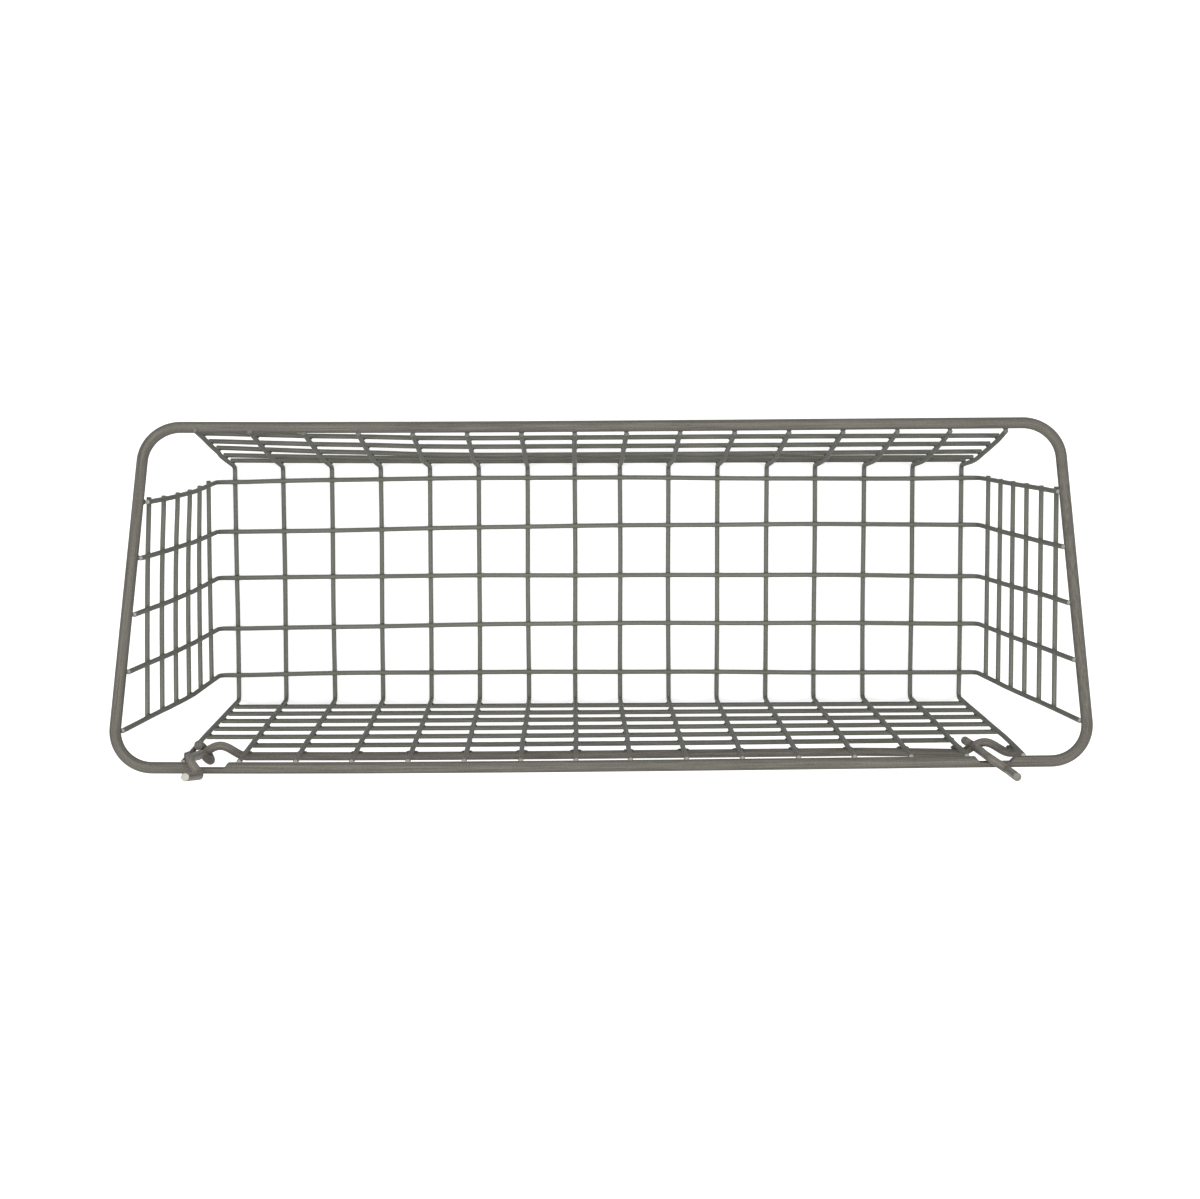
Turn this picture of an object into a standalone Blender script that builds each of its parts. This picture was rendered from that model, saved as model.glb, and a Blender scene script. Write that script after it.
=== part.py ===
"""A welded wire basket that hangs in a perforated board, modelled piece by piece.

A heavy wire ring makes the rim. Thin wires bent to a U run under the floor from the front of the
ring to its back, and five long wires lie on them and climb to the ring's two sides. Straight thin
rails are welded to the outside of the four walls at the same levels. A rod behind the back wall
has a jog near each end, and a loose wire hook hangs in each jog by its closed eye.

Lengths are in millimetres until add_piece turns them into metres. X runs along the basket, -Y is
its front, +Y is the side that lies on the board, and Z is up from the surface that the floor wires
rest on. Y is measured from the middle long wire, and add_piece moves everything by MIDDLE_WIRE_Y,
so that the origin is under the middle of the whole object. Left and right are those of a person
who faces the front. Wires that are welded together on the real basket keep WELD_GAP here, so each
stays a solid of its own.
"""

import math

import bmesh
import bpy
import numpy as np

MM = 0.001
WELD_GAP = 0.3
MIDDLE_WIRE_Y = 6.45

# Wire sizes
THIN_RADIUS = 1.1
RIM_RADIUS = 2.4
ROD_RADIUS = 1.85
HOOK_RADIUS = 1.85
THIN_SIDES = 8
THICK_SIDES = 12

# Mesh of thin wires
PITCH = 25.4
CROSS_WIRES = 16
LONG_WIRES = 5
FRONT_RAILS = 5
BACK_RAILS = 6
SIDE_RAILS = 6
FIRST_RAIL_Z = 9.5
SIDE_RAIL_OVERHANG = 1.2
CORNER_RADIUS = 3.0
CORNER_STEPS = 5
LAST_CROSS_X = (CROSS_WIRES - 1) * PITCH / 2
LAST_LONG_Y = (LONG_WIRES - 1) * PITCH / 2
TOP_FRONT_RAIL_Z = FIRST_RAIL_Z + (FRONT_RAILS - 1) * PITCH
TOP_BACK_RAIL_Z = FIRST_RAIL_Z + (BACK_RAILS - 1) * PITCH

# Walls, whose feet stand outside the last wires of the floor
FRONT_FOOT_OUT = 7.0
SIDE_FOOT_OUT = 9.3
FRONT_FLARE_Z = 47.0
FRONT_FLARE_RUN = 5.1
FRONT_FLARE_RADIUS = 150.0
WIRE_ABOVE_RIM = 0.5
FRONT_FOOT_Y = -LAST_LONG_Y - FRONT_FOOT_OUT
SIDE_FOOT_X = LAST_CROSS_X + SIDE_FOOT_OUT

# Rim ring: a flat ring that slopes down to the front, outside and above the mesh
RIM_FRONT_OUT = 25.3
RIM_BACK_OUT = 18.2
RIM_FRONT_SIDE_OUT = 23.9
RIM_BACK_SIDE_OUT = 31.6
RIM_FRONT_ABOVE_RAIL = 23.6
RIM_BACK_ABOVE_RAIL = 54.8
RIM_CORNER_RADIUS = 17.5
RIM_CORNER_STEPS = 8
RIM_FRONT = (FRONT_FOOT_Y - RIM_FRONT_OUT, TOP_FRONT_RAIL_Z + RIM_FRONT_ABOVE_RAIL)
RIM_BACK = (LAST_LONG_Y + RIM_BACK_OUT, TOP_BACK_RAIL_Z + RIM_BACK_ABOVE_RAIL)
RIM_FRONT_HALF_WIDTH = LAST_CROSS_X + RIM_FRONT_SIDE_OUT
RIM_BACK_HALF_WIDTH = LAST_CROSS_X + RIM_BACK_SIDE_OUT

# Hanger rod, its jogs between the last two cross wires, and the notches in the rim above them
ROD_BELOW_RIM = 28.7
ROD_OVERHANG = 4.0
JOG_DEPTH = 5.0
JOG_FROM_WIRE = 0.25
JOG_STEPS = 10
ROD_Z = RIM_BACK[1] - ROD_BELOW_RIM
JOG_X = LAST_CROSS_X - PITCH / 2
JOG_HALF_LENGTH = PITCH / 2 - JOG_FROM_WIRE
NOTCH_FLOOR_HALF = 7.0
NOTCH_SHOULDER = 2.0
NOTCH_STEPS = 3

# Hooks: a closed eye, a shank, a peg that goes back over the rim, and a turned-up end
EYE_PLAY = 1.0
NECK_RADIUS = 4.0
PEG_ABOVE_RIM = 1.35
PEG_LENGTH = 9.6
TIP_HEIGHT = 27.0
HOOK_BEND_RADIUS = 3.6
PEG_ANGLE = 88.5
TIP_ANGLE = 84.0
HOOK_STEPS = 6
EYE_STEPS = 18
EYE_END_ANGLE = 140.0
EYE_RADIUS = ROD_RADIUS + HOOK_RADIUS + EYE_PLAY
SHANK_HEIGHT = ROD_BELOW_RIM + RIM_RADIUS + HOOK_RADIUS + PEG_ABOVE_RIM
LEFT_EYE_FROM_JOG = 5.1
RIGHT_EYE_FROM_JOG = 7.3
# Where each eye hangs along the rod, how far its peg points to the left, its lean forward, and
# how far its plane tips over to the right
HOOKS = {
    "peg_hook_left": {"eye_x": LEFT_EYE_FROM_JOG - JOG_X, "yaw": 56.0, "lean": -2.5, "roll": -2.0},
    "peg_hook_right": {"eye_x": RIGHT_EYE_FROM_JOG + JOG_X, "yaw": 36.5, "lean": 6.2, "roll": 0.0},
}

# Planes that follow from the sizes above
CROSS_FLOOR_Z = THIN_RADIUS
LONG_FLOOR_Z = CROSS_FLOOR_Z + 2 * THIN_RADIUS + WELD_GAP
THIN_TO_THIN = 2 * THIN_RADIUS + WELD_GAP
RIM_TO_THIN = RIM_RADIUS + THIN_RADIUS + WELD_GAP
BACK_WALL_Y = RIM_BACK[0] - RIM_TO_THIN
ROD_Y = BACK_WALL_Y + THIN_RADIUS + WELD_GAP + ROD_RADIUS
RIM_SLOPE = (RIM_BACK[1] - RIM_FRONT[1]) / (RIM_BACK[0] - RIM_FRONT[0])

X_AXIS = np.array([1.0, 0.0, 0.0])
Y_AXIS = np.array([0.0, 1.0, 0.0])
Z_AXIS = np.array([0.0, 0.0, 1.0])


def unit(vector):
    return np.asarray(vector, float) / np.linalg.norm(vector)


def rounded(corners, radii, steps, closed=False):
    """The path through these corners, with an arc of the given radius at each inner one."""
    corners = np.asarray(corners, float)
    count = len(corners)
    path = []
    for i, corner in enumerate(corners):
        if not closed and i in (0, count - 1):
            path.append(corner)
            continue
        arrive = unit(corner - corners[i - 1])
        leave = unit(corners[(i + 1) % count] - corner)
        turn = math.acos(np.clip(arrive @ leave, -1.0, 1.0))
        reach = radii[i] * math.tan(turn / 2)
        inward = unit(leave - arrive)
        centre = corner + inward * radii[i] / math.cos(turn / 2)
        start = corner - arrive * reach - centre
        for k in range(steps + 1):
            angle = turn * k / steps
            path.append(centre + start * math.cos(angle) + arrive * radii[i] * math.sin(angle))
    return np.array(path)


def sweep(path, normal, radius, sides, turn=0.0, closed=False):
    """A closed tube along a flat path, as points and faces.

    The section is a regular polygon whose flats lie at `radius`, and `turn` rotates it. `normal`
    is the normal of the plane that the path lies in.
    """
    path = np.asarray(path, float)
    before = np.roll(path, 1, axis=0)
    after = np.roll(path, -1, axis=0)
    if not closed:
        before[0] = 2 * path[0] - path[1]
        after[-1] = 2 * path[-1] - path[-2]
    arrive = path - before
    leave = after - path
    arrive /= np.linalg.norm(arrive, axis=1)[:, None]
    leave /= np.linalg.norm(leave, axis=1)[:, None]
    tangent = arrive + leave
    tangent /= np.linalg.norm(tangent, axis=1)[:, None]
    mitre = 1.0 / np.sum(tangent * leave, axis=1)
    side = np.cross(tangent, normal) * mitre[:, None]

    angles = turn + (np.arange(sides) + 0.5) * 2 * math.pi / sides
    reach = radius / math.cos(math.pi / sides)
    across = reach * np.cos(angles)
    along = reach * np.sin(angles)
    points = path[:, None] + side[:, None] * across[:, None] + np.asarray(normal) * along[:, None]
    return points.reshape(-1, 3), tube_faces(len(path), sides, closed)


def tube_faces(rings, sides, closed):
    faces = []
    for i in range(rings if closed else rings - 1):
        here = i * sides
        there = (i + 1) % rings * sides
        for k in range(sides):
            following = (k + 1) % sides
            faces.append((here + k, there + k, there + following, here + following))
    if not closed:
        faces.append(tuple(range(sides)))
        faces.append(tuple(range(rings * sides - 1, (rings - 1) * sides - 1, -1)))
    return faces


def add_piece(name, points, faces, colour, origin=None):
    """An object with its own material, in its place. Its origin is the world's unless given."""
    shift = MIDDLE_WIRE_Y * Y_AXIS
    origin = np.zeros(3) if origin is None else origin + shift
    points = points + shift
    mesh = bpy.data.meshes.new(name)
    mesh.from_pydata(((points - origin) * MM).tolist(), [], faces)
    shape = bmesh.new()
    shape.from_mesh(mesh)
    bmesh.ops.recalc_face_normals(shape, faces=shape.faces)
    shape.to_mesh(mesh)
    shape.free()
    mesh.shade_smooth()
    mesh.set_sharp_from_angle(angle=math.radians(50))
    piece = bpy.data.objects.new(name, mesh)
    piece.location = origin * MM
    mesh.materials.append(coated_metal(name, colour))
    bpy.context.scene.collection.objects.link(piece)
    return piece


def coated_metal(name, colour):
    material = bpy.data.materials.new(name)
    material.use_nodes = True
    shader = material.node_tree.nodes["Principled BSDF"]
    shader.inputs["Base Color"].default_value = (*colour, 1.0)
    shader.inputs["Metallic"].default_value = 0.6
    shader.inputs["Roughness"].default_value = 0.45
    return material


THIN_COLOUR = (0.13, 0.13, 0.115)
THICK_COLOUR = (0.17, 0.16, 0.145)


def rim_height(y):
    return RIM_FRONT[1] + RIM_SLOPE * (y - RIM_FRONT[0])


def rim_half_width(y):
    share = (y - RIM_FRONT[0]) / (RIM_BACK[0] - RIM_FRONT[0])
    return RIM_FRONT_HALF_WIDTH + share * (RIM_BACK_HALF_WIDTH - RIM_FRONT_HALF_WIDTH)


def leg_beside(foot, rim, clearance):
    """End of a straight leg that starts at `foot` and passes `clearance` inside the rim wire.

    Both are points of the wire's own plane, as (outward, up). The leg stops just above the rim's
    centre.
    """
    foot = np.asarray(foot, float)
    reach = np.asarray(rim, float) - foot
    distance = np.linalg.norm(reach)
    angle = math.atan2(reach[1], reach[0]) + math.asin(clearance / distance)
    length = math.sqrt(distance**2 - clearance**2)
    direction = np.array([math.cos(angle), math.sin(angle)])
    return foot + direction * (length + WIRE_ABOVE_RIM)


def front_wall_line():
    """The front wall's wire as (outward, up) points: its foot, where it flares, and its top end."""
    foot = np.array([-FRONT_FOOT_Y, CROSS_FLOOR_Z])
    flare = np.array([-FRONT_FOOT_Y + FRONT_FLARE_RUN, FRONT_FLARE_Z])
    top = leg_beside(flare, (-RIM_FRONT[0], RIM_FRONT[1]), RIM_TO_THIN)
    return foot, flare, top


def cross_wire_path(x):
    foot, flare, top = front_wall_line()
    corners = [
        (x, -top[0], top[1]),
        (x, -flare[0], flare[1]),
        (x, -foot[0], foot[1]),
        (x, BACK_WALL_Y, CROSS_FLOOR_Z),
        (x, BACK_WALL_Y, RIM_BACK[1]),
    ]
    radii = [0.0, FRONT_FLARE_RADIUS, CORNER_RADIUS, CORNER_RADIUS, 0.0]
    return rounded(corners, radii, CORNER_STEPS)


def side_wall_top(y):
    """Top end (x, z) of a long wire's leg at this depth."""
    return leg_beside((SIDE_FOOT_X, LONG_FLOOR_Z), (rim_half_width(y), rim_height(y)), RIM_TO_THIN)


def long_wire_path(y):
    top_x, top_z = side_wall_top(y)
    corners = [
        (-top_x, y, top_z),
        (-SIDE_FOOT_X, y, LONG_FLOOR_Z),
        (SIDE_FOOT_X, y, LONG_FLOOR_Z),
        (top_x, y, top_z),
    ]
    return rounded(corners, [0.0, CORNER_RADIUS, CORNER_RADIUS, 0.0], CORNER_STEPS)


def outside_leg(foot, head, level, clearance):
    """How far out a rail's centre is that lies on a straight leg's outside at this level."""
    direction = unit(np.subtract(head, foot))
    start = foot + clearance * np.array([direction[1], -direction[0]])
    return start[0] + (level - start[1]) * direction[0] / direction[1]


def cross_wire_positions():
    return np.arange(CROSS_WIRES) * PITCH - LAST_CROSS_X


def long_wire_positions():
    return np.arange(LONG_WIRES) * PITCH - LAST_LONG_Y


def rail_level(index):
    return FIRST_RAIL_Z + index * PITCH


def add_rail(name, start, end):
    points, faces = sweep([start, end], Z_AXIS, THIN_RADIUS, THIN_SIDES)
    add_piece(name, points, faces, THIN_COLOUR)


def add_floor_wires():
    for index, x in enumerate(cross_wire_positions(), start=1):
        points, faces = sweep(cross_wire_path(x), X_AXIS, THIN_RADIUS, THIN_SIDES)
        add_piece(f"cross_wire_{index:02d}", points, faces, THIN_COLOUR)
    for index, y in enumerate(long_wire_positions(), start=1):
        points, faces = sweep(long_wire_path(y), Y_AXIS, THIN_RADIUS, THIN_SIDES)
        add_piece(f"long_wire_{index}", points, faces, THIN_COLOUR)


def front_rail_y(level):
    foot, flare, top = front_wall_line()
    low, high = (foot, flare) if level < FRONT_FLARE_Z else (flare, top)
    return -outside_leg(low, high, level, THIN_TO_THIN)


def add_front_and_back_rails():
    end_x = cross_wire_positions()[-1] + THIN_RADIUS
    for index in range(FRONT_RAILS):
        z = rail_level(index)
        y = front_rail_y(z)
        add_rail(f"front_rail_{index + 1}", (-end_x, y, z), (end_x, y, z))
    y = BACK_WALL_Y + THIN_TO_THIN
    for index in range(BACK_RAILS):
        z = rail_level(index)
        reach = end_x - PITCH if index == BACK_RAILS - 1 else end_x
        add_rail(f"back_rail_{index + 1}", (-reach, y, z), (reach, y, z))


def side_rail_x(y, level):
    return outside_leg((SIDE_FOOT_X, LONG_FLOOR_Z), side_wall_top(y), level, THIN_TO_THIN)


def add_side_rails():
    first, last = long_wire_positions()[[0, -1]]
    start_y = first - SIDE_RAIL_OVERHANG
    end_y = last + SIDE_RAIL_OVERHANG
    for side, name in ((-1.0, "left"), (1.0, "right")):
        for index in range(SIDE_RAILS):
            z = rail_level(index)
            start = (side * side_rail_x(start_y, z), start_y, z)
            end = (side * side_rail_x(end_y, z), end_y, z)
            add_rail(f"{name}_rail_{index + 1}", start, end)


def notch_depth(x):
    """How far the front of the back run is cut away at x, from 0 to 1 for a cut to the centre."""
    from_floor = np.abs(np.abs(x) - JOG_X) - NOTCH_FLOOR_HALF
    return np.clip(1.0 - from_floor / NOTCH_SHOULDER, 0.0, 1.0)


def rim_path():
    front = (RIM_FRONT[0], RIM_FRONT[1])
    back = (RIM_BACK[0], RIM_BACK[1])
    corners = [
        (-RIM_FRONT_HALF_WIDTH, *front),
        (RIM_FRONT_HALF_WIDTH, *front),
        (RIM_BACK_HALF_WIDTH, *back),
        (-RIM_BACK_HALF_WIDTH, *back),
    ]
    ring = rounded(corners, [RIM_CORNER_RADIUS] * 4, RIM_CORNER_STEPS, closed=True)
    edge = NOTCH_FLOOR_HALF + NOTCH_SHOULDER
    shoulder = np.linspace(-edge, -NOTCH_FLOOR_HALF, NOTCH_STEPS)
    stations = np.concatenate([shoulder, -shoulder[::-1]])
    xs = np.concatenate([JOG_X - stations, -JOG_X - stations])
    notches = np.stack([xs, np.full(len(xs), back[0]), np.full(len(xs), back[1])], axis=1)
    before_back_run = 3 * (RIM_CORNER_STEPS + 1)
    return np.insert(ring, before_back_run, notches, axis=0)


def add_rim():
    """The ring, with the front half of its wire cut away over each jog of the rod."""
    slope = math.atan(RIM_SLOPE)
    normal = (0.0, -math.sin(slope), math.cos(slope))
    points, faces = sweep(rim_path(), normal, RIM_RADIUS, THICK_SIDES, turn=-slope, closed=True)
    on_back_run = np.abs(points[:, 1] - RIM_BACK[0]) < 1.1 * RIM_RADIUS
    depth = notch_depth(points[:, 0]) * on_back_run
    front_face = RIM_BACK[0] - RIM_RADIUS * (1.0 - depth) * 1.1
    cut = (depth > 0) & (points[:, 1] < front_face)
    points[cut, 1] = front_face[cut]
    add_piece("rim", points, faces, THICK_COLOUR)


def jog_y(x):
    """Depth of the rod's centre line at x: one smooth forward wave over each jog."""
    from_centre = np.abs(np.abs(x) - JOG_X)
    wave = 0.5 + 0.5 * np.cos(math.pi * from_centre / JOG_HALF_LENGTH)
    return ROD_Y - JOG_DEPTH * np.where(from_centre < JOG_HALF_LENGTH, wave, 0.0)


def add_hook_rod():
    end_x = cross_wire_positions()[-1] + ROD_OVERHANG
    jog = JOG_X + np.linspace(-JOG_HALF_LENGTH, JOG_HALF_LENGTH, 2 * JOG_STEPS + 1)
    half = np.concatenate([jog, [end_x]])
    xs = np.concatenate([-half[::-1], half])
    path = np.stack([xs, jog_y(xs), np.full(len(xs), ROD_Z)], axis=1)
    points, faces = sweep(path, Z_AXIS, ROD_RADIUS, THICK_SIDES)
    add_piece("hook_rod", points, faces, THICK_COLOUR)


def around(centre, radius, start, end, steps):
    """Points along an arc in a plane, with angles in radians."""
    angles = np.linspace(start, end, steps + 1)
    return centre + radius * np.stack([np.cos(angles), np.sin(angles)], axis=1)


def hook_outline():
    """The hook's centre line as (back, up) points, from the eye's open end to the cut tip.

    The eye starts in front of the shank, goes under the rod and up behind it, and a neck turns
    it into the shank, which stands right above the eye's centre.
    """
    neck_height = math.sqrt(EYE_RADIUS**2 + 2 * EYE_RADIUS * NECK_RADIUS)
    neck_joint = math.atan2(neck_height, NECK_RADIUS)
    eye_end = math.radians(EYE_END_ANGLE)
    eye = around((0.0, 0.0), EYE_RADIUS, eye_end, 2 * math.pi + neck_joint, EYE_STEPS)
    neck_centre = (NECK_RADIUS, neck_height)
    neck = around(neck_centre, NECK_RADIUS, math.pi + neck_joint, math.pi, HOOK_STEPS)
    peg_direction = math.radians(PEG_ANGLE - 90.0)
    tip_direction = math.pi + peg_direction - math.radians(TIP_ANGLE)
    top = np.array([0.0, SHANK_HEIGHT])
    heel = top + PEG_LENGTH * np.array([math.cos(peg_direction), math.sin(peg_direction)])
    tip = heel + TIP_HEIGHT * np.array([math.cos(tip_direction), math.sin(tip_direction)])
    bend = HOOK_BEND_RADIUS
    rest = rounded([neck[-1], top, heel, tip], [0.0, bend, bend, 0.0], HOOK_STEPS)
    return np.concatenate([eye, neck[1:-1], rest])


def add_hooks():
    outline = hook_outline()
    for name, place in HOOKS.items():
        eye = np.array([place["eye_x"], jog_y(place["eye_x"]), ROD_Z])
        yaw = math.radians(place["yaw"])
        lean = math.radians(place["lean"])
        roll = math.radians(place["roll"])
        back = np.array([-math.sin(yaw), math.cos(yaw), 0.0])
        right = np.array([math.cos(yaw), math.sin(yaw), 0.0])
        up = Z_AXIS * math.cos(roll) + right * math.sin(roll)
        leaned_back = back * math.cos(lean) + up * math.sin(lean)
        leaned_up = up * math.cos(lean) - back * math.sin(lean)
        path = eye + outline[:, :1] * leaned_back + outline[:, 1:] * leaned_up
        points, faces = sweep(path, np.cross(back, up), HOOK_RADIUS, THICK_SIDES)
        add_piece(name, points, faces, THICK_COLOUR, origin=eye)


def clear_scene():
    for thing in list(bpy.data.objects):
        bpy.data.objects.remove(thing, do_unlink=True)


def main():
    clear_scene()
    add_rim()
    add_floor_wires()
    add_front_and_back_rails()
    add_side_rails()
    add_hook_rod()
    add_hooks()


main()
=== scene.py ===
# %% [markdown]
# # A welded wire basket for a pegboard
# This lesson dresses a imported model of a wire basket. The real one is made of straight and bent
# steel wires that are spot welded where they cross, and then coated in a thin grey lacquer. The
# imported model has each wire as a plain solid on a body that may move, and the cells below make each
# kind of wire again as a round, smooth tube, with the marks that bending, welding and cutting leave
# on it. Left is the side with negative X, and the photograph shows it on its right.

import math

import bpy
import numpy as np
from mathutils import Matrix, Vector


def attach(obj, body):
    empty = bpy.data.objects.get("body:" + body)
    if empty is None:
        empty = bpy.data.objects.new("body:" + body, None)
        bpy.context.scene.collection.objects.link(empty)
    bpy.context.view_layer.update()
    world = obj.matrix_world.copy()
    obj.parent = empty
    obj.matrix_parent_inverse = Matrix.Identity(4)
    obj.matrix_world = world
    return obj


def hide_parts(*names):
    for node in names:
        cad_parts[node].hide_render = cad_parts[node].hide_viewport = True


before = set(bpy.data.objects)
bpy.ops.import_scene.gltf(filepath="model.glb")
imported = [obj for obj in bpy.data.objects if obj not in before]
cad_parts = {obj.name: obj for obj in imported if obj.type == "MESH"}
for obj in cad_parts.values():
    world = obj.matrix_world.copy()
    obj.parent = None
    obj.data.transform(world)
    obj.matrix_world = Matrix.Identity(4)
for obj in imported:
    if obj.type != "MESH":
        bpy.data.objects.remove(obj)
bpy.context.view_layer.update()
print("nodes in the frame:", len(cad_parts))

# %% [markdown]
# ## The mesh
# Sixteen cross wires, five long wires and six levels of rails share one pitch, so their places can
# be worked out from it instead of being typed one by one. All lengths are in millimetres, as on a
# drawing, and MM turns them into metres when a mesh is made. Y is measured from the middle long
# wire. Two welded wires lie a little closer than their radii add up to, because a spot weld
# presses the hot wires into each other.

# %% Places of the thin wires
MM = 0.001
PITCH = 25.4
CROSS_X = (np.arange(16) - 7.5) * PITCH
LONG_Y = (np.arange(5) - 2) * PITCH
RAIL_Z = 9.5 + PITCH * np.arange(6)
MIDDLE_WIRE_Y = 6.45
THIN_RADIUS = 1.17
THIN_TO_THIN = 2.3
CROSS_FLOOR_Z = 1.2
LONG_FLOOR_Z = CROSS_FLOOR_Z + THIN_TO_THIN
print("floor mesh in mm:", CROSS_X[-1] - CROSS_X[0], "by", LONG_Y[-1] - LONG_Y[0])

# %% [markdown]
# ## Paths
# A bent wire is straight lines joined by arcs. Such a path could be drawn by hand as a curve with
# handles, but then no bend would have a known radius. Here each corner is replaced by an arc that
# touches both straight parts, as a bending tool leaves it, and the arc is sampled finely enough to
# look round close up.


# %% Paths of bent wires
def unit(vector):
    """The vector divided by its length."""
    return np.asarray(vector, float) / np.linalg.norm(vector)


def rounded(corners, radii, steps, closed=False):
    """Points along a line through the corners, with an arc at each inner corner.

    The arc's centre lies on the corner's bisector, at radius / cos(half turn) from the corner,
    and the arc starts radius * tan(half turn) before the corner.
    """
    corners = np.asarray(corners, float)
    count = len(corners)
    path = []
    for i, corner in enumerate(corners):
        if not closed and i in (0, count - 1):
            path.append(corner[None])
            continue
        arrive = unit(corner - corners[i - 1])
        leave = unit(corners[(i + 1) % count] - corner)
        turn = math.acos(np.clip(arrive @ leave, -1.0, 1.0))
        centre = corner + unit(leave - arrive) * radii[i] / math.cos(turn / 2)
        start = corner - arrive * radii[i] * math.tan(turn / 2) - centre
        angles = np.linspace(0, turn, steps + 1)[:, None]
        path.append(centre + start * np.cos(angles) + arrive * radii[i] * np.sin(angles))
    return np.concatenate(path)


def spaced(path, step):
    """The same line with extra points on its straight parts, at most `step` apart.

    A stretch of length d gets ceil(d / step) equal parts, and its points are a + (b - a) * k / parts.
    """
    stretch = np.diff(path, axis=0)
    parts = np.maximum(1, np.ceil(np.linalg.norm(stretch, axis=1) / step)).astype(int)
    which = np.repeat(np.arange(len(stretch)), parts)
    k = np.arange(len(which)) - np.repeat(np.cumsum(parts) - parts, parts) + 1
    return np.concatenate([path[:1], path[which] + stretch[which] * (k / parts[which])[:, None]])


elbow = rounded([(0, 0, 0), (20, 0, 0), (20, 20, 0)], [0, 5, 0], 10)
print("points on a wire with one bend:", len(elbow), "and spaced at 3 mm:", len(spaced(elbow, 3.0)))

# %% [markdown]
# ## Wires as swept tubes
# A wire is a circle carried along its path. Blender's curve objects can do that with a bevel, but
# a tube worked out as arrays can also have rounded cut ends, a notch, and a note of where each
# point lies on the wire when it is laid out straight, which lets a pattern follow the wire round
# its bends. First come the directions along and across the wire, at each point of its path.


# %% Directions along a path
def directions(path, normal, closed):
    """The tangent, the direction across the wire, and the length so far, at each point of a path.

    The tangent halves the angle between the two stretches that meet at the point. Across is the
    tangent crossed with the path's normal, widened by 1 / cos(half turn), so that the wire keeps
    its thickness in the bend.
    """
    before = np.roll(path, 1, axis=0)
    after = np.roll(path, -1, axis=0)
    if not closed:
        before[0] = 2 * path[0] - path[1]
        after[-1] = 2 * path[-1] - path[-2]
    arrive = path - before
    leave = after - path
    steps = np.linalg.norm(arrive, axis=1)
    arrive /= steps[:, None]
    leave /= np.linalg.norm(leave, axis=1)[:, None]
    tangent = arrive + leave
    tangent /= np.linalg.norm(tangent, axis=1)[:, None]
    across = np.cross(tangent, normal) / np.sum(tangent * leave, axis=1)[:, None]
    steps[0] = 0.0
    return tangent, across, np.cumsum(steps)


def round_cuts(path, tangent, across, along, radii, edge):
    """Three more rings at each end, so that the sheared edge is a small quarter circle.

    The ring at angle t lies edge * (1 - sin t) from the cut and is edge * (1 - cos t) smaller.
    """
    turn = np.linspace(0, math.pi / 2, 4)[1:]
    inset = edge * (1 - np.sin(turn))
    shrink = edge * (1 - np.cos(turn))
    head = path[0] + tangent[0] * inset[::-1, None]
    tail = path[-1] - tangent[-1] * inset[:, None]
    first = path[:1] + tangent[:1] * edge
    last = path[-1:] - tangent[-1:] * edge
    path = np.concatenate([head, first, path[1:-1], last, tail])
    across = np.concatenate([np.repeat(across[:1], 3, 0), across, np.repeat(across[-1:], 3, 0)])
    along = np.concatenate([np.zeros(3), along, np.full(3, along[-1])])
    radii = np.concatenate([radii[:1] - shrink[::-1], radii, radii[-1:] - shrink])
    return path, across, along, radii


elbow_length = directions(spaced(elbow, 3.0), (0, 0, 1), closed=False)[2][-1]
print("length of the bent wire in mm:", round(float(elbow_length), 1))

# %% [markdown]
# ## The tube
# The tube is then one formula on a grid of two parameters, the length s along the wire and the
# angle a around it, and its faces are one grid of index numbers. Blender could join the rings with
# its bridge tool, one pair at a time, but a grid joins them all at once.


# %% The tube
def tube(path, normal, radius, sides=20, closed=False, edge=0.25):
    """Points, faces and laid-out coordinates of a round wire along a flat path.

    Point(s, a) = path(s) + r(s) * (cos(a) * across(s) + sin(a) * normal), where r(s) is the
    wire's radius, and follows a quarter circle of radius `edge` near a cut end.
    """
    path = np.asarray(path, float)
    normal = np.asarray(normal, float)
    tangent, across, along = directions(path, normal, closed)
    radii = np.full(len(path), float(radius))
    if not closed:
        path, across, along, radii = round_cuts(path, tangent, across, along, radii, edge)
    angles = (np.arange(sides) + 0.5) * 2 * math.pi / sides
    sideways = np.cos(angles)[None, :, None] * across[:, None]
    upward = np.sin(angles)[None, :, None] * normal[None, None]
    points = path[:, None] + radii[:, None, None] * (sideways + upward)
    laid_out = np.stack(np.broadcast_arrays(
        along[:, None], radius * np.cos(angles)[None], radius * np.sin(angles)[None]), axis=2)
    return points.reshape(-1, 3), tube_faces(len(path), sides, closed), laid_out.reshape(-1, 3)


def tube_faces(rings, sides, closed):
    """Quads between neighbouring rings, worked out as one index grid, and a cap at each end."""
    ring = np.arange(rings if closed else rings - 1)[:, None] * sides
    next_ring = (ring + sides) % (rings * sides)
    here = np.arange(sides)[None]
    after = (here + 1) % sides
    quads = np.stack([ring + here, next_ring + here, next_ring + after, ring + after], axis=2)
    faces = quads.reshape(-1, 4).tolist()
    if not closed:
        faces.append(list(range(sides)))
        faces.append(list(range(rings * sides - 1, (rings - 1) * sides - 1, -1)))
    return faces


print("faces of a tube with 10 rings:", len(tube_faces(10, 20, False)))

# %% [markdown]
# ## The basket's skew
# Nothing welded by hand in a jig comes out quite square. Seen from above, the tops of the real
# walls lie up to 1.4 mm further forward at the left end than in the middle. Each wire could be
# moved by itself, but then the welds would come apart. So one smooth lean is laid over them all,
# through what was read at ten places along the walls.

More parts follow.
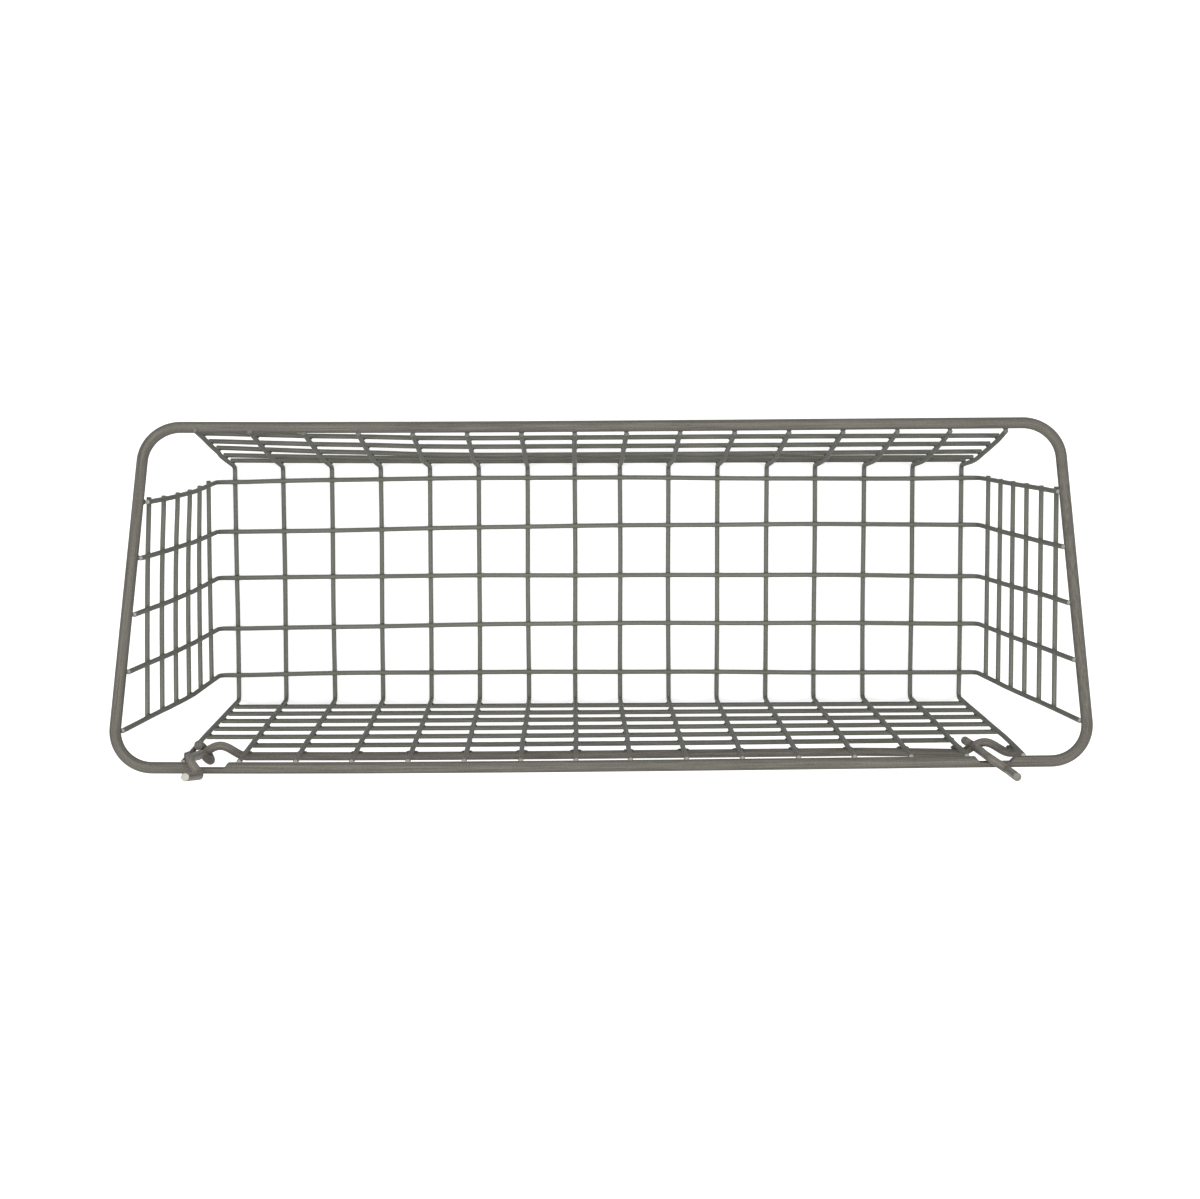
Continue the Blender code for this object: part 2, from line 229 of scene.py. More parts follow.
# %% How the walls lean
SKEW_HEIGHT = 180.0
SKEW_X = (-220, -165, -118, -62, -5, 61, 108, 150, 187, 220)
SKEW_Y = (-1.4, -1.2, -0.9, -0.4, 0.0, 0.2, 0.2, 0.1, -0.1, -0.3)
SKEW_CUBIC = np.polyfit(SKEW_X, SKEW_Y, 3)


def skew(x):
    """How far the walls' tops lie towards the back: the cubic nearest to the ten readings."""
    return np.polyval(SKEW_CUBIC, np.clip(x, -225, 225))


print("lean in mm at the left end, the middle and the right end:", skew(np.array([-220, 0, 220])).round(2))

# %% [markdown]
# ## Which way the faces point
# A surface can come out with its faces inwards, and then its bumps shade wrongly. Blender can
# recalculate them, but for a closed surface one number settles it: the volume that the faces
# enclose, which is negative when they point inwards. Then all of them are turned at once.


# %% Volume with a sign
def signed_volume(mesh):
    """Sum of the tetrahedra from the origin to each triangle: negative if faces point inwards."""
    mesh.calc_loop_triangles()
    points = np.empty(len(mesh.vertices) * 3)
    mesh.vertices.foreach_get("co", points)
    corners = np.empty(len(mesh.loop_triangles) * 3, np.int32)
    mesh.loop_triangles.foreach_get("vertices", corners)
    a, b, c = points.reshape(-1, 3)[corners.reshape(-1, 3)].transpose(1, 0, 2)
    return np.sum(a * np.cross(b, c)) / 6


test_mesh = bpy.data.meshes.new("test_wedge")
wedge_faces = [(0, 2, 1), (0, 1, 3), (0, 3, 2), (1, 2, 3)]
test_mesh.from_pydata([(0, 0, 0), (1, 0, 0), (0, 1, 0), (0, 0, 1)], [], wedge_faces)
print("volume of a corner of a cube, which is 1/6:", round(float(signed_volume(test_mesh)), 4))
bpy.data.meshes.remove(test_mesh)

# %% [markdown]
# ## From arrays to an object
# from_pydata puts the arrays into a mesh. The place is in the mesh, and the object stays at the
# world's origin. It could be moved instead, but then a pattern on its coordinates would slide when
# the model is exported. Every piece rides on a body of the frame, which moves it in a pose, and
# every wire takes the place of its plain node.


# %% Make a piece
def make_piece(name, points, faces, laid_out, materials,
               body="basket", nodes=(), slot="thin_wire", skewed=True):
    """A mesh object that rides on a body and replaces the nodes that it is given.

    A skewed piece leans along Y by skew(x) * z / SKEW_HEIGHT, and no more above that height.
    """
    placed = np.asarray(points) + (0.0, MIDDLE_WIRE_Y, 0.0)
    if skewed:
        placed[:, 1] += skew(placed[:, 0]) * np.clip(placed[:, 2] / SKEW_HEIGHT, 0.0, 1.0)
    mesh = bpy.data.meshes.new(name)
    mesh.from_pydata((placed * MM).tolist(), [], faces)
    place = mesh.attributes.new("wire_place", "FLOAT_VECTOR", "POINT")
    place.data.foreach_set("vector", (np.asarray(laid_out) * MM).ravel())
    for material in materials:
        mesh.materials.append(material)
    mesh.shade_smooth()
    mesh.set_sharp_from_angle(angle=math.radians(40))
    if signed_volume(mesh) < 0:
        mesh.flip_normals()
    mesh.update()
    piece = bpy.data.objects.new(name, mesh)
    bpy.context.scene.collection.objects.link(piece)
    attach(piece, body)
    if nodes:
        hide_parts(*nodes)
    return piece


print("the middle of the floor mesh lies at y =", MIDDLE_WIRE_Y, "mm in the frame")

# %% [markdown]
# ## Colours and nodes
# A colour picked from a photograph is an sRGB hex code, but a shader counts in linear light, so
# one function turns the first into the second. A material is a tree of nodes. Adding each by hand
# takes many lines, so one helper makes a node, sets its values and links its inputs.


# %% A colour and a node
def colour(code):
    """An sRGB hex code as linear red, green and blue, with alpha 1."""
    values = [int(code[i:i + 2], 16) / 255 for i in (1, 3, 5)]
    linear = [v / 12.92 if v <= 0.04045 else ((v + 0.055) / 1.055) ** 2.4 for v in values]
    return (*linear, 1.0)


def add_node(tree, kind, settings=None, links=None):
    """Add a node, set its values, and link its inputs to (node, output) pairs."""
    node = tree.nodes.new(kind)
    for key, value in (settings or {}).items():
        if isinstance(key, str) and key not in node.inputs:
            setattr(node, key, value)
        else:
            node.inputs[key].default_value = value
    for key, (source, output) in (links or {}).items():
        tree.links.new(source.outputs[output], node.inputs[key])
    return node


print("the thin wires' lighter grey in linear light:", np.round(colour("#8a8a81")[:3], 3))

# %% [markdown]
# ## The lacquer
# The real wires are drawn steel under a thin satin lacquer. Drawing leaves faint lines along the
# wire, which the lacquer doesn't quite fill, so the grey has long thin streaks and an uneven
# gloss. A picture of a wire could be wrapped round each tube. Noise that is stretched along the
# laid-out wire needs no picture, follows every bend and never repeats. A lacquer's specular level
# is 0.5 as a rule, and here it is brought down until the wires are as matt as the real ones.

# %% Lacquered wire
# Noise per metre: streaks about 30 mm long and 0.7 mm wide, and a grain of about 0.6 mm, which is
# coarser than the lacquer's own, because a finer one wouldn't show.
STREAKS_PER_METRE = (33.0, 1400.0, 1400.0)
GRAIN_PER_METRE = 1800.0
STREAK_HEIGHT = 0.06


def lacquered_wire(name, dark, light, roughness=0.45, specular=0.06):
    """Satin lacquer over drawn steel: streaks along the wire, fine grain, and uneven gloss.

    Height and tint = 0.65 * streaks + 0.35 * grain, both noise on the laid-out wire.
    """
    material = bpy.data.materials.new(name)
    material.use_nodes = True
    tree = material.node_tree
    shader = tree.nodes["Principled BSDF"]
    place = add_node(tree, "ShaderNodeAttribute", {"attribute_name": "wire_place"})
    stretched = add_node(tree, "ShaderNodeMapping", {"Scale": STREAKS_PER_METRE},
                         {"Vector": (place, "Vector")})
    streaks = add_node(tree, "ShaderNodeTexNoise", {"Scale": 1.0, "Detail": 3.0, "Roughness": 0.6},
                       {"Vector": (stretched, "Vector")})
    grain = add_node(tree, "ShaderNodeTexNoise", {"Scale": GRAIN_PER_METRE, "Detail": 2.0},
                     {"Vector": (place, "Vector")})
    height = add_node(tree, "ShaderNodeMix", {0: 0.35}, {2: (streaks, "Fac"), 3: (grain, "Fac")})
    spread = add_node(tree, "ShaderNodeMapRange", {"From Min": 0.33, "From Max": 0.67},
                      {"Value": (height, 0)})
    tint = add_node(tree, "ShaderNodeMix", {"data_type": "RGBA", 6: colour(dark), 7: colour(light)},
                    {0: (spread, "Result")})
    gloss = add_node(tree, "ShaderNodeMapRange", {"To Min": roughness - 0.08, "To Max": roughness + 0.12},
                     {"Value": (grain, "Fac")})
    bump = add_node(tree, "ShaderNodeBump", {"Strength": 0.3, "Distance": STREAK_HEIGHT * MM},
                    {"Height": (height, 0)})
    tree.links.new(tint.outputs[2], shader.inputs["Base Color"])
    tree.links.new(gloss.outputs["Result"], shader.inputs["Roughness"])
    tree.links.new(bump.outputs["Normal"], shader.inputs["Normal"])
    shader.inputs["Specular IOR Level"].default_value = specular
    return material


print("streaks in mm, long and wide:", *np.round(1000 / np.array(STREAKS_PER_METRE[:2]), 1))

# %% [markdown]
# ## Four lacquered finishes
# One lacquer covers the whole basket, but what lies under it shows through. One material for all
# the wires would make them look like plastic, so each kind has its own two greys and its own gloss.

# %% The lacquered finishes
# The thin wires look matt and very slightly olive, and their streaks are just to be seen.
thin_lacquer = lacquered_wire("Lacquered thin wire", "#6b6b63", "#8a8a81", specular=0.03)
# The rim is a thicker wire, so it looks darker and warmer, with more contrast in its streaks.
rim_lacquer = lacquered_wire("Lacquered rim wire", "#605d56", "#85827a", specular=0.05)
# The rod and the hooks are drawn smoother, which gives them a slight sheen.
rod_lacquer = lacquered_wire("Lacquered rod and hooks", "#6a655e", "#8f8a82", roughness=0.4, specular=0.08)
# Burnt metal under the lacquer makes the welds darker and more even than the wires.
weld_lacquer = lacquered_wire("Lacquered welds", "#53534c", "#6b6b63")
print("lacquers:", ", ".join(m.name for m in (thin_lacquer, rim_lacquer, rod_lacquer, weld_lacquer)))

# %% [markdown]
# ## Bare steel
# The wires are sheared to length, so their ends show steel with no lacquer on it. A smooth metal
# would mirror the room there, but shears leave a fine torn grain, which noise gives to both the
# colour and the bumps.

# %% Bare steel of the cut ends
# Noise per metre: a torn grain of about 0.7 mm, coarser than the real one so that it shows.
TORN_GRAIN_PER_METRE = 1500.0
TORN_HEIGHT = 0.1


def bare_cut(name, dark, light):
    """Sheared steel: the tint and the small bumps follow one noise."""
    material = bpy.data.materials.new(name)
    material.use_nodes = True
    tree = material.node_tree
    shader = tree.nodes["Principled BSDF"]
    place = add_node(tree, "ShaderNodeTexCoord")
    grain = add_node(tree, "ShaderNodeTexNoise", {"Scale": TORN_GRAIN_PER_METRE, "Detail": 3.0},
                     {"Vector": (place, "Object")})
    tint = add_node(tree, "ShaderNodeMix", {"data_type": "RGBA", 6: colour(dark), 7: colour(light)},
                    {0: (grain, "Fac")})
    bump = add_node(tree, "ShaderNodeBump", {"Strength": 0.4, "Distance": TORN_HEIGHT * MM},
                    {"Height": (grain, "Fac")})
    tree.links.new(tint.outputs[2], shader.inputs["Base Color"])
    tree.links.new(bump.outputs["Normal"], shader.inputs["Normal"])
    shader.inputs["Metallic"].default_value = 0.2
    shader.inputs["Roughness"].default_value = 0.5
    return material


print("torn grain in mm:", round(1000 / TORN_GRAIN_PER_METRE, 1))

# %% [markdown]
# ## Cut ends
# Steel dulls as it ages, so not all cuts look alike, and one hook's cut is also darkened with painted shade.
# The ends could be separate discs, but a second material on the tube's own cap faces can't come loose and has
# no edge that shows.

# %% The cut ends
# The thin wires' cuts are small and a little paler than their sides.
cut_end = bare_cut("Bare cut steel end", "#716e68", "#9c9891")
# One hook's cut has gone dull, and its colour is also darkened with painted shade, so it looks almost as dark
# as the hook.
dull_shaded_cut = bare_cut("Dull cut hook end with painted shade", "#57544f", "#85817a")
# The other hook's cut is fresh, and is the palest spot on the basket.
bright_cut = bare_cut("Fresh cut hook end", "#8e8a83", "#c2beb6")


def bare_ends(piece, start=True, end=True):
    """Give the cap faces, which are the last two faces of a tube, the second material."""
    index = np.zeros(len(piece.data.polygons), np.int32)
    index[-2:] = (start, end)
    piece.data.polygons.foreach_set("material_index", index)


print("cut ends:", ", ".join(m.name for m in (cut_end, dull_shaded_cut, bright_cut)))

# %% [markdown]
# ## Where the wires meet the rim
# The rim is a heavy ring that slopes down to the front, and every thin wire ends on its inner
# side, where it is welded on. The wires' tops could be measured one by one, but they follow from
# the rim: a leg starts at its foot and passes the rim's middle at the welds' distance.

# %% The rim's place and the legs beside it
RIM_FRONT = np.array([-83.1, 134.7])
RIM_BACK = np.array([69.0, 191.3])
RIM_SIDE_X = {-1: (-215.2, -221.5), 1: (214.0, 223.1)}
FRONT_RIM_TO_THIN = 3.6
SIDE_RIM_TO_THIN = 3.2
BACK_RIM_TO_THIN = 3.8


def leg_beside(foot, rim, clearance, above=0.3):
    """End of a straight leg from `foot` that passes `clearance` inside the rim's centre.

    The leg's direction is the direction to the rim's centre, turned by asin(clearance / distance).
    """
    foot = np.asarray(foot, float)
    reach = np.asarray(rim, float) - foot
    distance = np.linalg.norm(reach)
    angle = math.atan2(reach[1], reach[0]) + math.asin(clearance / distance)
    length = math.sqrt(distance**2 - clearance**2)
    return foot + np.array([math.cos(angle), math.sin(angle)]) * (length + above)


def along_side(y, at_front, at_back):
    """A value that changes evenly along the rim's side, from its front run to its back run."""
    return np.interp(y, [RIM_FRONT[0], RIM_BACK[0]], [at_front, at_back])


FRONT_FOOT = np.array([57.8, CROSS_FLOOR_Z])
FRONT_FLARE = np.array([62.9, 54.0])
FRONT_TOP = leg_beside(FRONT_FLARE, (-RIM_FRONT[0], RIM_FRONT[1]), FRONT_RIM_TO_THIN, above=-1.0)
SIDE_FOOT = np.array([199.8, LONG_FLOOR_Z])


def side_top(y, sign):
    """The end of a side wall's leg, as (out, up), on the left for sign -1 and the right for 1."""
    rim = (abs(along_side(y, *RIM_SIDE_X[sign])), along_side(y, RIM_FRONT[1], RIM_BACK[1]))
    return leg_beside(SIDE_FOOT, rim, SIDE_RIM_TO_THIN)


BACK_WALL_Y = RIM_BACK[0] - BACK_RIM_TO_THIN


def back_wall_y(z):
    """The back wall stands straight, and only its wires' ends bend back, to reach the rim."""
    return BACK_WALL_Y + np.interp(z, [0.0, 60.0, 140.0, 190.0], [0.3, 0.1, 0.1, 1.0])


print("front legs end at", FRONT_TOP.round(1), "and the middle right leg at", side_top(0.0, 1).round(1))

# %% [markdown]
# ## How the cross wires stray
# On the real basket no wire lies quite on its line of the mesh. Noise could scatter them, but the
# eye knows a real basket by how its own wires stray, so each cross wire's distance from its line
# was read at the floor. The welds on the rim pull its top back towards the line.

# %% Cross wires off their lines
CROSS_SHIFT = np.array([-0.35, 0, 0.1, 0.6, 0.7, 1.15, 1.45, 1.5,
                        -0.15, -0.85, -0.5, -0.3, 0, 0.15, 0.3, 0.1])
# Not read from the real wire: the second wire gives way by this much, sideways and back, so that
# the left hook can swing past it.
HOOK_ROOM = 0.8
HOOK_ROOM_BEHIND = 0.35


def aside(index, z):
    """A bell curve, exp(-((z - 140) / 28)^2), for the second wire, and 0 for the others."""
    return (index == 1) * np.exp(-((np.asarray(z) - 140.0) / 28.0) ** 2)


def cross_shift(index, z):
    """The sideways place of a cross wire's points, which the welds on the rim pull back.

    The second wire also gives way below the rod, where the left hook swings past it.
    """
    return CROSS_SHIFT[index] * np.interp(z, [40.0, 190.0], [1.0, 0.4]) + HOOK_ROOM * aside(index, z)


print("the cross wires stray by up to", np.abs(CROSS_SHIFT).max(), "mm")

# %% [markdown]
# ## The front wall's form
# The front legs flare out above the floor and then climb to the rim. Towards the right end the
# flare dies out and the legs run straight, and at the left end it is a little softer. One bent
# outline for all the legs would be simpler, but from above the front wall is seen at a flat angle,
# which shows each millimetre, so a second form is mixed in towards each end.


# %% The front wall's two ends
def towards_right_end(x):
    """0 over most of the front wall, rising to 1 at its right end."""
    return np.interp(x, [60, 89, 114, 140, 165, 190], [0.0, 0.1, 0.35, 0.5, 0.75, 1.0])


def front_bulge(x, z):
    """How far the front wall stands forward of its even shape.

    It is the right end's form times its share at x, plus the left end's form times its own.
    """
    left = np.interp(x, [-190, -60], [1.0, 0.0])
    right_form = np.interp(z, [1, 9.5, 35, 60, 86, 111, 133], [0.0, 0.85, 2.3, 4.0, 3.0, 2.6, 2.0])
    left_form = np.interp(z, [1, 35, 60, 86, 111, 133], [0.0, -0.2, 0.45, 0.0, -0.5, 0.0])
    return towards_right_end(x) * right_form + left * left_form


print("the right end's bulge at half height in mm:", front_bulge(190, 60))

# %% [markdown]
# ## Waves left from the coil
# Wire comes in a coil and is straightened by rollers, which leave slight waves of a tenth of a
# millimetre or two. Random steps from point to point would look like kinks, so two sine waves of
# different lengths are added up, and each wire starts them at its own place. They break up the
# highlight that a dead straight tube would have.


# %% Slight waves
def wavy(path, axis, seed, amount=0.12):
    """The path with the slight waves that a wire keeps from its coil.

    Offset = amount * (sin(2 pi s / 210 + a) + 0.6 * sin(2 pi s / 95 + b)), s along the wire.
    """
    steps = np.linalg.norm(np.diff(path, axis=0), axis=1)
    along = np.concatenate([[0.0], np.cumsum(steps)])
    first, second = np.random.default_rng(int(abs(seed) * 100)).uniform(0, 2 * math.pi, 2)
    waves = np.sin(2 * math.pi * along / 210 + first) + 0.6 * np.sin(2 * math.pi * along / 95 + second)
    result = path.copy()
    result[:, axis] += amount * waves
    return result


straight = spaced(np.array([(0.0, 0.0, 0.0), (400.0, 0.0, 0.0)]), 6.0)
print("waves of a straight wire in mm:", round(float(np.ptp(wavy(straight, 2, 1)[:, 2])), 2))

# %% [markdown]
# ## Cross wires
# Sixteen thin wires run front to back under the basket, and each is bent to a U. All could be
# copies of one wire, but each strays in its own way and bulges with its part of the front wall, so
# each has its own path.

# %% Path of a cross wire
FRONT_FLARE_RADIUS = 150
FOOT_RADIUS = 3
BACK_BEND_RADIUS = 300
BACK_BEND_Z = 140.0
# The straight legs at the right end reach this much further up the rim's side.
RIGHT_END_REACH = 3.6


def cross_wire_path(index):
    """From the front of the rim down, back along the floor, and up behind to the rim.

    The waves and the sideways stray are added along X, and the front wall's bulge along Y.
    """
    x = CROSS_X[index]
    top = RIM_BACK[1] + 0.6
    front_top = FRONT_TOP + unit(FRONT_TOP - FRONT_FLARE) * RIGHT_END_REACH * towards_right_end(x)
    corners = [
        (x, -front_top[0], front_top[1]),
        (x, -FRONT_FLARE[0], FRONT_FLARE[1]),
        (x, -FRONT_FOOT[0], FRONT_FOOT[1]),
        (x, back_wall_y(0), CROSS_FLOOR_Z),
        (x, back_wall_y(BACK_BEND_Z), BACK_BEND_Z),
        (x, back_wall_y(top), top),
    ]
    bends = [0, FRONT_FLARE_RADIUS, FOOT_RADIUS, FOOT_RADIUS, BACK_BEND_RADIUS, 0]
    path = wavy(spaced(rounded(corners, bends, 10), 6.0), 0, x)
    z = path[:, 2]
    path[:, 0] += cross_shift(index, z)
    path[:, 1] += np.where(path[:, 1] < 0, -front_bulge(x, z), HOOK_ROOM_BEHIND * aside(index, z))
    return path


print("points on the first cross wire's path:", len(cross_wire_path(0)))

# %% [markdown]
# At the front the wires' ends are tucked against the rim and covered with lacquer. At the back
# they stand up beside it and show their cuts. Twenty sides look round on so thin a wire, and more
# would only make the model heavier.

# %% Make the cross wires
for index in range(16):
    name = f"cross_wire_{index + 1:02d}"
    shape = tube(cross_wire_path(index), (1, 0, 0), THIN_RADIUS)
    bare_ends(make_piece(name + "_round", *shape, [thin_lacquer, cut_end], nodes=[name]), start=False)
print("cross wires:", index + 1)

# %% [markdown]
# ## How the long wires stray
# The five long wires lie on the cross wires and climb both side walls. Welding sixteen crossings
# one after another bends them, so their distance from their line was read at four places, and a
# cubic goes through these, because a springy wire bends smoothly. The side walls aren't square
# either: their legs lean, and the right wall bows inward near the front.

# %% Long wires and side walls off their lines
LONG_STATIONS = (-180, -60, 60, 180)
LONG_SHIFT = np.array([(-0.1, -0.6, -1.1, 0.6), (-0.9, -1.6, -0.5, 1.2), (0.7, -0.4, -0.5, 0.0),
                       (0.6, -0.4, 0.0, 1.5), (1.0, 0.4, -0.2, 0.9)])


def long_shift(index, x):
    """A cubic through the four stations: the wire is one springy line, so it bends smoothly."""
    return np.polyval(np.polyfit(LONG_STATIONS, LONG_SHIFT[index], 3), np.clip(x, -185, 185))


def leg_shift(index, x, z):
    """How far a long wire lies along Y: its floor run's place fades out and the leg leans.

    The right legs lean back and the left ones forward, but for the last wire, which lies further
    back on both sides.
    """
    right = np.interp(z, [5.0, 30.0, 60.0, 110.0, 190.0], [0.0, 0.8, 1.8, 2.2, 1.9])
    left = np.interp(z, [5.0, 190.0], [0.0, -0.7])
    last = np.interp(z, [5.0, 60.0], [0.0, 1.0]) * (index == 4)
    lean = np.where(np.asarray(x) > 0, right + 0.5 * last, left + 1.3 * last)
    return long_shift(index, x) * np.interp(z, [5.0, 120.0], [1.0, 0.0]) + lean


def inward(x, y, z):
    """How far the right side wall bows in: most at its front edge and at half height."""
    along = np.interp(y, [-50, -42, -28, -10, 15], [2.2, 2.0, 1.35, 0.9, 0.6])
    height = np.interp(z, [5, 13, 37, 61, 86, 111, 136, 190], [0.0, 0.1, 0.6, 1.0, 1.0, 0.85, 0.6, 0.0])
    return np.where(np.asarray(x) > 0, along * height, 0.0)


print("the long wires stray by up to", np.abs(LONG_SHIFT).max(), "mm")

# %% [markdown]
# ## Long wires
# Each long wire is one path from rim to rim, as the real one is one bent wire. Three straight
# pieces would be quicker, but would show a joint at each foot.

# %% Make the long wires
LONG_BEND_RADIUS = 4


def long_wire_path(index):
    """From the left rim down, across the floor and up to the right rim, with its stray and bow."""
    y = LONG_Y[index]
    left, right = side_top(y, -1), side_top(y, 1)
    corners = [
        (-left[0], y, left[1]),
        (-SIDE_FOOT[0], y, SIDE_FOOT[1]),
        (SIDE_FOOT[0], y, SIDE_FOOT[1]),
        (right[0], y, right[1]),
    ]
    path = rounded(corners, [0, LONG_BEND_RADIUS, LONG_BEND_RADIUS, 0], 10)
    path = wavy(spaced(path, 6.0), 1, y)
    path[:, 1] += leg_shift(index, path[:, 0], path[:, 2])
    path[:, 0] -= inward(path[:, 0], path[:, 1], path[:, 2])
    return path


for index in range(5):
    name = f"long_wire_{index + 1}"
    shape = tube(long_wire_path(index), (0, 1, 0), THIN_RADIUS)
    bare_ends(make_piece(name + "_round", *shape, [thin_lacquer, cut_end], nodes=[name]))
print("long wires:", index + 1)

# %% [markdown]
# ## Where the rails lie
# Straight rails are welded to the outside of the four walls, at the same levels all round. A rail
# could be set down by eye, but it would soon float or sink in. Here its distance out follows from
# the legs that it touches, and it takes on the walls' bulge and bow as the legs do.


# %% Where a rail lies against a wall
def outside_leg(foot, head, level, clearance=THIN_TO_THIN):
    """Distance out of a rail's centre that touches a leg from foot to head at this level.

    The leg's line is moved outwards by the clearance, square to itself, and read at the level.
    """
    direction = unit(np.subtract(head, foot))
    start = foot + clearance * np.array([direction[1], -direction[0]])
    return start[0] + (level - start[1]) * direction[0] / direction[1]


def front_rail_y(level):
    """Outside the lower or the upper straight of the front legs, whichever is at this level."""
    low, high = (FRONT_FOOT, FRONT_FLARE) if level < FRONT_FLARE[1] else (FRONT_FLARE, FRONT_TOP)
    return -outside_leg(low, high, level)


def side_rail_x(y, level, sign):
    """Outside the leg that a side wall would have at this y."""
    return sign * outside_leg(SIDE_FOOT, side_top(y, sign), level)


def add_rail(name, start, end, bulge=0.0, bow=0.0):
    """A rail from start to end, with slight waves and as much bulge or bow as its wall has."""
    path = wavy(spaced(np.array([start, end], float), 8.0), 2, 50 + start[0] * 3 + start[2])
    path[:, 1] -= bulge * front_bulge(path[:, 0], path[:, 2])
    path[:, 0] -= bow * inward(path[:, 0], path[:, 1], path[:, 2])
    make_piece(name + "_round", *tube(path, (0, 0, 1), THIN_RADIUS), [thin_lacquer], nodes=[name])


print("front rails lie at y =", [round(float(front_rail_y(z)), 1) for z in RAIL_Z[:5]])

# %% [markdown]
# ## Front and back rails
# The front wall is lower, so it has one rail less. The top rail of the back wall is one mesh
# shorter at each end, which leaves the hooks room to swing down. The real back rails all reach a
# little further out at the left end.

# %% Make the front and back rails
RAIL_END_X = CROSS_X[-1] + THIN_RADIUS
LEFT_OVERHANG = 1.3
for index in range(5):
    level = RAIL_Z[index]
    y = front_rail_y(level)
    add_rail(f"front_rail_{index + 1}", (-RAIL_END_X, y, level), (RAIL_END_X, y, level), bulge=1.0)
for index in range(6):
    level = RAIL_Z[index]
    y = back_wall_y(level) + THIN_TO_THIN
    end_x = RAIL_END_X - PITCH if index == 5 else RAIL_END_X
    add_rail(f"back_rail_{index + 1}", (-end_x - LEFT_OVERHANG, y, level), (end_x, y, level))
print("front and back rails:", 5 + 6)

# %% [markdown]
# ## Side rails
# The rails of the side walls end just past the first and the last leg, so they are cut to where
# those two legs lean. The lowest three are welded up to 4 mm higher than on the other walls.

# %% Make the side rails
SIDE_RAIL_Z = RAIL_Z + (4.0, 2.5, 1.0, 0.0, 0.0, 0.0)
LEG_X = 205.0
for sign, side_name in ((-1, "left"), (1, "right")):
    for index in range(6):
        overhang = 1.7 if index in (0, 5) else 1.1
        level = SIDE_RAIL_Z[index]
        first, last = (LONG_Y[i] + leg_shift(i, sign * LEG_X, level) for i in (0, 4))
        ends = [(side_rail_x(y, level, sign), y, level) for y in (first - overhang, last + 1.0)]
        add_rail(f"{side_name}_rail_{index + 1}", *ends, bow=1.0)
print("side rails:", 2 * 6)

# %% [markdown]
# ## The rim
# The rim is one thick wire bent to a ring. Over each jog of the rod the front half of the wire is
# pressed or milled away, so that a hook's shank can pass without standing out in front of the rim.
# One even ring of points would be simpler, but the notches' shoulders need points close together.

# %% Path of the rim
JOG_X = 7 * PITCH
CORNER_RADIUS = 17.5
CORNER_STEPS = 20
NOTCH_SHOULDER = 2.0
NOTCH_REACH = 9.4


def notch_depth(x):
    """1 where the notch is fully deep, falling to 0 over its two sloping shoulders.

    The right notch is 1.4 mm shorter at its inner end, as the real one is.
    """
    centre = np.where(x > 0, JOG_X + 0.7, -JOG_X)
    half = np.where(x > 0, 6.3, 7.0)
    return np.clip(1.0 - (np.abs(x - centre) - half) / NOTCH_SHOULDER, 0.0, 1.0)


def rim_path():
    """The ring through four rounded corners, with a point about every 0.8 mm along the notches."""
    (left_front, left_back), (right_front, right_back) = RIM_SIDE_X[-1], RIM_SIDE_X[1]
    corners = [(left_front, *RIM_FRONT), (right_front, *RIM_FRONT),
               (right_back, *RIM_BACK), (left_back, *RIM_BACK)]
    ring = rounded(corners, [CORNER_RADIUS] * 4, CORNER_STEPS, closed=True)
    even = np.linspace(202.0, -202.0, 90)
    fine = np.linspace(-NOTCH_REACH, NOTCH_REACH, 25)
    xs = np.sort(np.concatenate([even[notch_depth(even) == 0], JOG_X - fine, -JOG_X - fine]))[::-1]
    back_run = np.stack([xs, np.full(len(xs), RIM_BACK[0]), np.full(len(xs), RIM_BACK[1])], axis=1)
    third_corner_end = 3 * (CORNER_STEPS + 1)
    return np.concatenate([spaced(ring[:third_corner_end], 6.0), back_run, ring[third_corner_end:]])


print("points round the rim:", len(rim_path()))

# %% [markdown]
# ## The notches
# A boolean could cut the notches, but it would leave long thin faces that shade badly. Pushing the
# points that lie in front of the cut back to a flat keeps the tube's own clean grid.

# %% Make the rim
slope = math.atan2(RIM_BACK[1] - RIM_FRONT[1], RIM_BACK[0] - RIM_FRONT[0])
rim_normal = (0.0, -math.sin(slope), math.cos(slope))
RIM_RADIUS = 2.65
points, faces, laid_out = tube(rim_path(), rim_normal, RIM_RADIUS, sides=48, closed=True)
on_back_run = np.abs(points[:, 1] - RIM_BACK[0]) < 1.1 * RIM_RADIUS
depth = notch_depth(points[:, 0]) * on_back_run
front_face = RIM_BACK[0] - 1.02 * RIM_RADIUS * (1.0 - depth)
cut = (depth > 0) & (points[:, 1] < front_face)
points[cut, 1] = front_face[cut]
make_piece("rim_ring", points, faces, laid_out, [rim_lacquer], nodes=["rim"], slot="rim_wire")
print("rim slope in degrees:", round(math.degrees(slope), 1), "points moved for the notches:", int(cut.sum()))

# %% [markdown]
# ## The hanger rod
# The rod is welded behind the back wall. Its two jogs come forward between the last two wires, and
# each keeps a hook's eye from sliding away. Each could be bent with arcs as the thin wires are, but
# half a cosine wave has the soft form of a rod pressed in a die. The rod leans with the walls only
# between the jogs, so that the hooks stay where their joints are.

# %% Make the hanger rod
ROD_RADIUS = 2.0
ROD_Y = BACK_WALL_Y + 3.35
ROD_Z = 162.6
ROD_OVERHANG = 4.0
JOG_DEPTH = 5.0
JOG_HALF_WIDTH = 12.45


def jog_y(x):
    """The rod's depth: half a cosine wave forward over each jog, and straight elsewhere."""
    from_centre = np.abs(np.abs(x) - JOG_X)
    wave = 0.5 + 0.5 * np.cos(math.pi * from_centre / JOG_HALF_WIDTH)
    return ROD_Y - JOG_DEPTH * np.where(from_centre < JOG_HALF_WIDTH, wave, 0.0)


